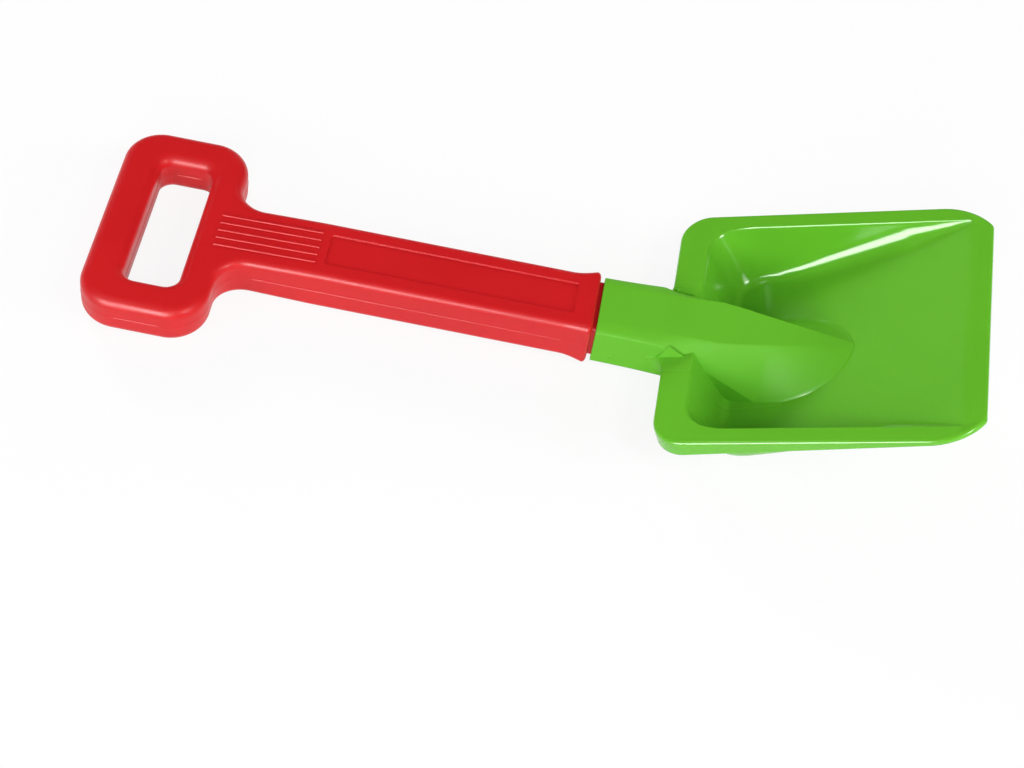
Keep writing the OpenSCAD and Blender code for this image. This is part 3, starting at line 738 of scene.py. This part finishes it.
def half_loop(b, u0, u1, w, rear_r, front_r, tip_r, rear_edge):
    """Half a loop round the scoop, from the middle of the front edge round the +v side to the
    middle of the rear edge"""
    sweep = b.front_sweep
    run = front_r * math.sin(sweep) + tip_r * (1 - math.sin(sweep))
    cu, cv = u1 - run, w - front_r
    tu, tv = u1 - tip_r, cv + (front_r - tip_r) * math.cos(sweep)
    deg = math.degrees(sweep)
    front = np.column_stack((np.full(FRONT_N, u1), np.linspace(0, tv, FRONT_N + 1)[:-1]))
    tip = arc(tu, tv, tip_r, 0, 90 - deg, TIP_N)
    corner = arc(cu, cv, front_r, 90 - deg, 90, CORNER_N)[1:]
    rear = arc(u0 + rear_r, w - rear_r, rear_r, 90, 180, CORNER_N)
    us = np.linspace(corner[-1][0], u0 + rear_r, SIDE_N + 2)[1:-1]
    side = np.column_stack((us, np.full(SIDE_N, w)))
    return np.concatenate((front, tip, corner, side, rear, rear_edge))


def whole_loop(half):
    return np.concatenate((half, half[-2:0:-1] * np.array((1, -1))))


def rim_loop(b, inset, side_v):
    """Loop of the rim's outline, drawn in along the webs beside the socket"""
    w = b.scoop_w / 2 - inset
    rear_r = b.rear_corner - inset
    v_web = side_v + b.web_r
    straight = np.linspace(w - rear_r, v_web, REAR_N + 1)[1:]
    a = np.radians(np.linspace(0, 90, WEB_N + 1)[1:])
    r = b.web_r + inset
    web = np.column_stack((-b.web_r + r * np.cos(a), v_web - r * np.sin(a)))
    inner = np.linspace(web[-1][1], 0, REAR_N // 2 + 1)[1:]
    edge = np.concatenate((np.column_stack((np.full(REAR_N, inset), straight)), web,
                           np.column_stack((np.full(len(inner), -b.web_r), inner))))
    return whole_loop(half_loop(b, inset, b.scoop_l - inset, w, rear_r,
                                b.front_corner - inset, b.front_tip - inset, edge))


def bowl_loop(b, v, part, shift, side_v):
    """Loop inside the bowl, parallel to the top of its walls"""
    w = v["inner_w"] - v["side_run"] * part + shift
    u0 = b.rear_flange + v["rear_run"] * part - shift
    r = b.rear_corner
    top = b.scoop_w / 2 - b.rear_corner
    a = np.radians(np.linspace(0, 90, WEB_N + 1)[1:])
    vs = np.concatenate((np.linspace(top, side_v + b.web_r, REAR_N + 1)[1:],
                         side_v + b.web_r * (1 - np.sin(a)),
                         np.linspace(side_v, 0, REAR_N // 2 + 1)[1:]))
    vs = vs * (w - r) / top
    edge = np.column_stack((np.full(len(vs), u0), vs))
    return whole_loop(half_loop(b, u0, v["front_u"] - v["side_run"] * part + shift, w, r,
                                b.bowl_corner, b.bowl_corner, edge))


def scoop_shell(b, v, side_v):
    """The scoop with its rim, flange and skirt as one closed wall"""
    def surface(shift, drop):
        loops = [bowl_loop(b, v, p, shift, side_v) for p in BOWL_PARTS]
        last = loops[-1]
        centre = np.array(((last[:, 0].min() + last[:, 0].max()) / 2, 0.0))
        loops += [centre + (last - centre) * (1 - k) for k in FLOOR_PARTS]
        return [np.column_stack((p, bowl_c(b, v, p[:, 0], p[:, 1], shift) - drop)) for p in loops]

    def level(inset, c):
        p = rim_loop(b, inset, side_v)
        return np.column_stack((p, np.broadcast_to(c, len(p))))

    def skirt(inset, up):
        p = rim_loop(b, inset, side_v)
        foot = -b.lip_h - (b.skirt_h - b.lip_h) * np.clip(1 - p[:, 0] / b.skirt_l, 0, 1)
        room = np.minimum(SKIRT_EDGE, 0.4 * (-b.wall - foot))
        return np.column_stack((p, foot + up * room))

    rings = surface(0.0, 0.0)[::-1]
    for a in np.radians(np.linspace(0, 90, 9)):
        rings.append(level(b.rim_edge * (1 - math.sin(a)), -b.rim_edge * (1 - math.cos(a))))
    # Round the skirt's lower edges and up its inside to the flange's underside
    e = SKIRT_EDGE
    for inset, up in ((0.0, 1.0), (SKIRT_TURN, 0.4), (0.3 * e + 0.1 * MM, 0.1), (e, 0.0),
                      (b.wall - e, 0.0), (b.wall - SKIRT_TURN, 0.4), (b.wall, 1.0)):
        rings.append(skirt(inset, up))
    rings += [level(b.wall + 0.02 * MM, -b.wall - 0.12 * MM), level(b.wall + 0.4 * MM, -b.wall)]
    rings += surface(v["shift"], b.wall)
    n = len(rings[0])
    # The rings turn the other way than a tube's
    faces = [(face[0], *face[:0:-1]) for face in tube_faces(len(rings), n)]
    last = (len(rings) - 1) * n
    for start, up in ((0, True), (last, False)):
        for i in range(n // 2):
            quad = [start + i, start + i + 1, start + (n - i - 1) % n, start + (n - i) % n]
            quad = list(dict.fromkeys(quad))
            faces.append(tuple(quad) if up else tuple(reversed(quad)))
    verts = np.concatenate(rings)
    x, z = from_rim(b, verts[:, 0], verts[:, 2])
    return plain_object("blade_moulding", np.column_stack((x, verts[:, 1], z)), faces)


def tongue_half(b, v, x, inset):
    """Half the width of the socket and tongue at x"""
    if x < b.bend_l:
        w = b.socket_w + (b.bend_w - b.socket_w) * (x / b.bend_l) ** 2
    else:
        w = b.bend_w + (b.tongue_w - b.bend_w) * ramp(x, b.bend_l, v["nose_x"])
    nose = min(max((x - v["nose_x"]) / (b.nose_l - inset), 0.0), 1.0)
    return (w / 2 - inset) * math.sqrt(max(1 - nose * nose, 0.0))


def tongue_section(b, v, x, bottom, inset):
    """Section of the socket and tongue in y and z, anticlockwise seen from +X"""
    w = tongue_half(b, v, x, inset)
    rb = min(b.wall / 4 if x > b.bend_l else b.socket_edge, w / 2)
    base = bottom + rb
    top = b.socket_t / 2 + (v["tip_z"] - b.socket_t / 2) * x / v["tip_x"] - inset
    if x < b.bend_l:
        top_w = (b.socket_w - 2 * b.socket_edge) * (1 - x / b.bend_l) + b.flat_w * x / b.bend_l
    else:
        top_w = b.flat_w + (b.tip_w - b.flat_w) * ramp(x, b.bend_l, v["tip_x"])
    flat = min(max(top_w - inset, b.tip_w) / 2, w * 0.6)
    drop = b.socket_edge + (b.flank_h - b.socket_edge) * ramp(x, b.bend_l / 2, v["nose_x"])
    drop = min(drop, top - base)
    near = 1 + CREST * ramp(x, 0, b.bend_l)
    far = near + FAR_CREST * ramp(x, b.bend_l, v["nose_x"])
    nose = ramp(x, v["nose_x"] - b.nose_l / 2, v["tip_x"])
    near_foot = 1 + FOOT * ramp(x, 0, v["nose_x"]) - NOSE_FOOT * nose
    far_foot = 1 + FAR_FOOT * ramp(x, 0, v["nose_x"])
    a = np.radians(np.linspace(0, 90, FLANK_N + 1))
    c, s = np.clip(np.cos(a), 0, 1), np.sin(a)
    side, other = (np.column_stack((flat + (w - flat) * c ** crest, top - drop * (1 - s ** low)))
                   for crest, low in ((far, far_foot), (near, near_foot)))
    mid = np.linspace(flat, -flat, CROWN_N + 1)[1:-1]
    crown = np.column_stack((mid, np.full(len(mid), top)))
    ring = np.concatenate((side, crown, other[::-1] * np.array((-1, 1)),
                           arc(rb - w, base, rb, 180, 270, FOOT_N),
                           arc(w - rb, base, rb, 270, 360, FOOT_N)))
    return np.column_stack((np.full(len(ring), x), ring))


def floor_sections(b, v, parts, span, below, inset):
    """Sections of the tongue that start this far below the scoop's floor, where x is in the span"""
    rings = []
    for k in parts:
        x, z = floor_point(b, v, v["rear_u"] + (v["tip_u"] - v["rear_u"]) * k)
        if span[0] < x < span[1]:
            rings.append(tongue_section(b, v, float(x), float(z) - below, inset))
    return rings


def tongue_outside(b, v):
    """The socket and the tongue down to the scoop's floor, solid"""
    rings = []
    for x in np.linspace(MOUTH_EDGE, b.bend_l, NECK_SECTIONS):
        rings.append(tongue_section(b, v, x, -b.socket_t / 2, 0.0))
    rings += floor_sections(b, v, TONGUE_PARTS, (b.bend_l + b.socket_wall, v["tip_x"]),
                            b.wall / 2, 0.0)
    mouth = []
    for x, draw in MOUTH_ROUND:
        ring = rings[0].copy()
        ring[:, 0] = x
        ring[:, 1] *= 1 - draw / (b.socket_w / 2)
        ring[:, 2] *= 1 - draw / (b.socket_t / 2)
        mouth.append(ring)
    return tube("tongue", mouth + rings)


def tongue_hollow(b, v):
    """The hollow under the tongue, open below"""
    over = 2 * MM
    start = b.socket_depth + b.socket_wall
    rear_x = float(floor_point(b, v, v["rear_u"])[0])
    rings = [tongue_section(b, v, x, -b.socket_t / 2 - over, b.socket_wall)
             for x in np.linspace(start, (start + rear_x) / 2, HOLLOW_SECTIONS)]
    rings += floor_sections(b, v, HOLLOW_PARTS, (0.0, v["tip_x"] - 2 * b.socket_wall),
                            b.wall + over, b.socket_wall)
    return tube("under_tongue", rings)


def gusset(b, side_v, side):
    """Small gusset that climbs from the flange onto the socket's side, its edges eased"""
    half = b.gusset_l / 2
    points = [(b.gusset_u - half, side_v + b.gusset_out, 0.0),
              (b.gusset_u + half, side_v + b.gusset_out, 0.0),
              (b.gusset_u, side_v - b.gusset_out / 2, b.gusset_h),
              (b.gusset_u, side_v - b.socket_wall, -b.gusset_h)]
    verts = []
    for u, w, h in points:
        x, z = from_rim(b, u, h)
        verts.append((x, side * w, z))
    faces = [(2, 1, 0), (1, 3, 0), (2, 3, 1), (0, 3, 2)]
    if side < 0:
        faces = [tuple(reversed(f)) for f in faces]
    obj = plain_object("gusset", verts, faces)
    ease = obj.modifiers.new("Ease", "BEVEL")
    ease.width = GUSSET_EDGE
    ease.segments = 2
    ease.limit_method = "NONE"
    return baked(obj)


def side_pips(b, v, material):
    """A small round pip on each side of the socket"""
    w = tongue_half(b, v, b.pip_x, 0.0)
    inputs = {
        "Radius": ("Float", b.pip_r),
        "First pip": ("Vector", (b.pip_x, -w, -b.pip_drop)),
        "Step": ("Vector", (0.0, 2 * w, 0.0)),
        "Material": ("Material", material),
    }
    tree, g = repeat_tree("Pips on the socket", inputs)
    row = add_node(tree, "GeometryNodeMeshLine", {"Count": 2}, mode="OFFSET")
    ball = add_node(tree, "GeometryNodeMeshUVSphere", {"Segments": 20, "Rings": 12})
    place = add_node(tree, "GeometryNodeInstanceOnPoints")
    wire(tree, (g, "Radius", ball, "Radius"), (g, "First pip", row, "Start Location"),
         (g, "Step", row, "Offset"), (row, 0, place, "Points"), (ball, "Mesh", place, "Instance"))
    end_tree(tree, place, g)
    return run_tree("pips", tree, inputs)


class OBJECT_OT_shovel_blade(bpy.types.Operator):
    """Build the blade with its socket, tongue and scoop"""
    bl_idname = "object.shovel_blade"
    bl_label = "Blade"

    def execute(self, context):
        b = context.scene.shovel_blade
        v = blade_rules(b)
        green = green_plastic(context.scene.shovel_plastics, b, v)
        side_v = tongue_half(b, v, b.set_back, 0.0)
        shell = scoop_shell(b, v, side_v)
        joins = [tongue_outside(b, v), gusset(b, side_v, 1), gusset(b, side_v, -1)]
        cut_or_join(shell, joins, "UNION")
        e = MOUTH_EDGE
        bore = bar("bore", [(-1 * MM, e), (0.0, e), (0.09 * MM, 0.3 * e), (e, 0.0),
                            (b.socket_depth, 0.0)], b.bore_w, b.bore_t, BORE_EDGE)
        cut_or_join(shell, [tongue_hollow(b, v), bore], "DIFFERENCE")
        add_shell(shell, side_pips(b, v, green))
        finish_piece(shell, green, "blade", "blade")
        return {"FINISHED"}


# ---- Plastics

PLASTIC_IOR = 1.5


def shader_nodes(name):
    material = bpy.data.materials.new(name)
    material.use_nodes = True
    nodes = material.node_tree.nodes
    return material, material.node_tree, nodes["Principled BSDF"]


def noise(tree, at, scale, detail, rough=0.5):
    node = add_node(tree, "ShaderNodeTexNoise", {"Scale": scale, "Detail": detail,
                                                 "Roughness": rough})
    tree.links.new(at, node.inputs["Vector"])
    return node.outputs["Fac"]


def between(tree, value, start, end, low, high):
    """Runs from low to high while the value runs from start to end"""
    node = add_node(tree, "ShaderNodeMapRange", {"From Min": start, "From Max": end,
                                                 "To Min": low, "To Max": high})
    tree.links.new(value, node.inputs["Value"])
    return node.outputs["Result"]


def spread(tree, value, low, high):
    """Spreads the middle part of a noise over low to high"""
    return between(tree, value, 0.3, 0.7, low, high)


def math_of(tree, operation, a, b):
    """Result of a math operation on two node outputs"""
    node = add_node(tree, "ShaderNodeMath", operation=operation)
    tree.links.new(a, node.inputs[0])
    tree.links.new(b, node.inputs[1])
    return node.outputs[0]


def blend_colours(tree, factor, a, b):
    node = add_node(tree, "ShaderNodeMix", {6: (*a, 1.0), 7: (*b, 1.0)}, data_type="RGBA")
    tree.links.new(factor, node.inputs["Factor"])
    return node.outputs[2]


def bump(tree, height, distance, strength, before=None):
    node = add_node(tree, "ShaderNodeBump", {"Distance": distance, "Strength": strength})
    tree.links.new(height, node.inputs["Height"])
    if before is not None:
        tree.links.new(before, node.inputs["Normal"])
    return node.outputs["Normal"]


def red_plastic(looks):
    """Semi-gloss blow-moulded plastic: slightly uneven, with a fine grain from the mould"""
    material, tree, shader = shader_nodes("Red blow-moulded plastic")
    at = add_node(tree, "ShaderNodeTexCoord").outputs["Object"]
    tone = noise(tree, at, scale=28.0, detail=3.0)
    patch = noise(tree, at, scale=90.0, detail=4.0, rough=0.6)
    wave = noise(tree, at, scale=60.0, detail=2.0)
    grain = noise(tree, at, scale=1400.0, detail=4.0, rough=0.6)
    colour = blend_colours(tree, spread(tree, tone, 0.0, 1.0), looks.red_deep, looks.red)
    rough = looks.red_roughness
    normal = bump(tree, wave, 0.12 * MM, 0.5)
    for name, value in (("Base Color", colour),
                        ("Roughness", spread(tree, patch, rough - 0.05, rough + 0.06)),
                        ("Normal", bump(tree, grain, 0.02 * MM, 0.6, normal))):
        tree.links.new(value, shader.inputs[name])
    shader.inputs["IOR"].default_value = PLASTIC_IOR
    shader.inputs["Specular IOR Level"].default_value = looks.red_gloss
    return material


def green_plastic(looks, b, v):
    """Gloss injection-moulded plastic with a faint flow in it, satin on the socket and tongue"""
    material, tree, shader = shader_nodes("Green gloss plastic")
    at = add_node(tree, "ShaderNodeTexCoord").outputs["Object"]
    tone = noise(tree, at, scale=22.0, detail=3.0)
    patch = noise(tree, at, scale=120.0, detail=4.0, rough=0.6)
    wave = noise(tree, at, scale=45.0, detail=2.0)
    grain = noise(tree, at, scale=1600.0, detail=3.0, rough=0.6)
    # The satin part is narrower than the tongue's foot and stands over the plane of the floor,
    # which runs through the lip square to the direction up
    split = add_node(tree, "ShaderNodeSeparateXYZ")
    tree.links.new(at, split.inputs[0])
    across = add_node(tree, "ShaderNodeMath", operation="ABSOLUTE")
    tree.links.new(split.outputs["Y"], across.inputs[0])
    tilt = b.scoop_pitch + b.floor_slope + REST_TILT
    x, z = floor_point(b, v, v["front_u"])
    lip = IN_SHOVEL @ Vector((x, 0, z))
    up = Vector((-math.sin(tilt), 0, math.cos(tilt)))
    over = add_node(tree, "ShaderNodeVectorMath", {1: up}, operation="DOT_PRODUCT")
    tree.links.new(at, over.inputs[0])
    rise, side, fade = lip.dot(up) + looks.satin_rise, looks.satin_w / 2, looks.satin_fade
    polished = math_of(tree, "MAXIMUM",
                       between(tree, over.outputs["Value"], rise, rise + fade, 1.0, 0.0),
                       between(tree, across.outputs[0], side, side + fade, 0.0, 1.0))
    colour = blend_colours(tree, spread(tree, tone, 0.0, 1.0), looks.green_deep, looks.green)
    rough = math_of(tree, "ADD", between(tree, polished, 0.0, 1.0, looks.satin_roughness,
                                         looks.green_roughness), spread(tree, patch, -0.03, 0.04))
    gloss = between(tree, polished, 0.0, 1.0, looks.satin_gloss, looks.gloss)
    normal = bump(tree, wave, 0.05 * MM, 0.4)
    for name, value in (("Base Color", colour), ("Roughness", rough), ("Specular IOR Level", gloss),
                        ("Normal", bump(tree, grain, 0.008 * MM, 0.4, normal))):
        tree.links.new(value, shader.inputs[name])
    shader.inputs["IOR"].default_value = PLASTIC_IOR
    return material


# ---- Stage

# Share of plain white in what the camera sees of the floor and of the sky behind it
FLOOR_GLOW = 0.88
SKY_LIGHT = 0.02
# Half the floor's length, and the point that the lamps face
FLOOR_REACH = 4.0
AIM = Vector((0.03, 0.0, 0.02))
# Lamps that light but aren't mirrored: azimuth and height in degrees, share of the power
SOFT_AWAY, SOFT_SIZE = 1.6, (0.6, 0.6)
SOFT_LAMPS = {"Near low": (-90, 20, 0.12), "Near high": (-90, 45, 0.12), "Left": (-135, 20, 0.13),
              "Front low": (0, 20, 0.19), "Front high": (-30, 50, 0.13), "Far": (90, 20, 0.07),
              "Back": (135, 20, 0.22)}
# Panes that are only mirrored: azimuth and height in degrees, size, share of the power
PANE_AWAY = 1.3
PANES = {"Window": (-113, 19, (0.86, 0.6), 0.6), "Side window": (-41, 32, (0.32, 0.28), 0.14),
         "Skylight": (-162, 60, (0.36, 0.12), 0.015)}


def floor_material(colour):
    """White floor that keeps the shadow and that the plastics see as white"""
    material = bpy.data.materials.new("Plain floor")
    material.use_nodes = True
    tree = material.node_tree
    tree.nodes.clear()
    out = add_node(tree, "ShaderNodeOutputMaterial")
    matt = add_node(tree, "ShaderNodeBsdfDiffuse", {"Color": (*colour, 1.0)})
    glow = add_node(tree, "ShaderNodeEmission", {"Strength": 1.0, "Color": (1.0, 1.0, 1.0, 1.0)})
    path = add_node(tree, "ShaderNodeLightPath")
    seen = path.outputs["Is Camera Ray"]
    for ray in ("Is Glossy Ray", "Is Transmission Ray"):
        seen = math_of(tree, "MAXIMUM", seen, path.outputs[ray])
    part = add_node(tree, "ShaderNodeMath", {1: FLOOR_GLOW}, operation="MULTIPLY")
    mix = add_node(tree, "ShaderNodeMixShader")
    tree.links.new(seen, part.inputs[0])
    wire(tree, (part, 0, mix, 0), (matt, 0, mix, 1), (glow, 0, mix, 2), (mix, 0, out, "Surface"))
    return material


def studio_world():
    """Sky that the camera sees pale behind the floor, and that hardly lights the plastics"""
    world = bpy.data.worlds.new("Soft studio")
    bpy.context.scene.world = world
    world.use_nodes = True
    tree = world.node_tree
    tree.nodes.clear()
    out = add_node(tree, "ShaderNodeOutputWorld")
    sky = add_node(tree, "ShaderNodeBackground", {"Color": (1.0, 1.0, 1.0, 1.0)})
    seen = add_node(tree, "ShaderNodeLightPath").outputs["Is Camera Ray"]
    tree.links.new(between(tree, seen, 0.0, 1.0, SKY_LIGHT, FLOOR_GLOW), sky.inputs["Strength"])
    wire(tree, (sky, 0, out, "Surface"))


def softbox(name, azimuth, height, away, size, power):
    """Area lamp that faces the shovel, seen from it at these angles in degrees"""
    (east, north), (flat, rise) = unit(azimuth), unit(height)
    ray = Vector((flat * east, flat * north, rise))
    lamp = bpy.data.lights.new(name, "AREA")
    lamp.shape = "RECTANGLE"
    lamp.size, lamp.size_y = size
    lamp.energy = power
    obj = bpy.data.objects.new(name, lamp)
    bpy.context.collection.objects.link(obj)
    obj.location = AIM + ray * away
    obj.rotation_mode = "QUATERNION"
    obj.rotation_quaternion = (-ray).to_track_quat("-Z", "Y")
    return obj


def photo_camera(focal):
    """Camera at the photograph's view: its axes and place, seen in the handle's own frame"""
    right = Vector((0.9810465, 0.1610224, 0.1077936))
    down = Vector((0.1933631, -0.7773850, -0.5985677))
    ahead = Vector((-0.0125857, 0.6080661, -0.7937866))
    offset = Vector((35.34, -27.10, 895.08)) * MM
    place = -(right * offset.x + down * offset.y + ahead * offset.z)
    pose = Matrix((right, -down, -ahead)).transposed().to_4x4()
    pose.translation = place
    camera = bpy.data.cameras.new("Photograph view")
    camera.lens = focal
    camera.sensor_width = 36.0
    camera.clip_start, camera.clip_end = 0.01, 20.0
    obj = bpy.data.objects.new("Photograph view", camera)
    bpy.context.collection.objects.link(obj)
    obj.matrix_world = IN_SHOVEL @ pose
    bpy.context.scene.camera = obj
    return obj


class OBJECT_OT_shovel_stage(bpy.types.Operator):
    """Build the floor, the lamps and the camera"""
    bl_idname = "object.shovel_stage"
    bl_label = "Stage"

    def execute(self, context):
        stage = context.scene.shovel_stage
        r = FLOOR_REACH
        ground = plain_object("Floor", [(-r, -r, 0), (r, -r, 0), (r, r, 0), (-r, r, 0)],
                              [(0, 1, 2, 3)])
        ground.data.materials.append(floor_material(tuple(stage.floor)))
        studio_world()
        for name, (azimuth, height, part) in SOFT_LAMPS.items():
            power = part * stage.soft_power
            lamp = softbox(name, azimuth, height, SOFT_AWAY, SOFT_SIZE, power)
            lamp.visible_glossy = False
        for name, (azimuth, height, size, part) in PANES.items():
            pane = softbox(name, azimuth, height, PANE_AWAY, size, part * stage.window_power)
            pane.visible_diffuse = False
        photo_camera(stage.focal)
        context.scene.view_settings.view_transform = "Standard"
        return {"FINISHED"}


class VIEW3D_PT_sand_shovel(bpy.types.Panel):
    """Panel that lists the shovel's pieces"""
    bl_label = "Sand Shovel"
    bl_idname = "VIEW3D_PT_sand_shovel"
    bl_space_type = "VIEW_3D"
    bl_region_type = "UI"
    bl_category = "Sand Shovel"

    def draw(self, context):
        column = self.layout.column()
        for operator in OPERATORS:
            column.operator(operator.bl_idname)


OPERATORS = (OBJECT_OT_shovel_handle, OBJECT_OT_shovel_blade, OBJECT_OT_shovel_stage)
GROUPS = {
    "shovel_handle": ShovelHandleSizes,
    "shovel_relief": ShovelReliefSizes,
    "shovel_blade": ShovelBladeSizes,
    "shovel_plastics": ShovelPlastics,
    "shovel_stage": ShovelStage,
}
CLASSES = (*GROUPS.values(), *OPERATORS, VIEW3D_PT_sand_shovel)


def register():
    for entry in CLASSES:
        bpy.utils.register_class(entry)
    for name, group in GROUPS.items():
        setattr(bpy.types.Scene, name, PointerProperty(type=group))


def unregister():
    for name in GROUPS:
        delattr(bpy.types.Scene, name)
    for entry in reversed(CLASSES):
        bpy.utils.unregister_class(entry)


def main():
    register()
    bpy.ops.object.shovel_handle()
    bpy.ops.object.shovel_blade()
    bpy.ops.object.shovel_stage()


if __name__ == "__main__":
    main()
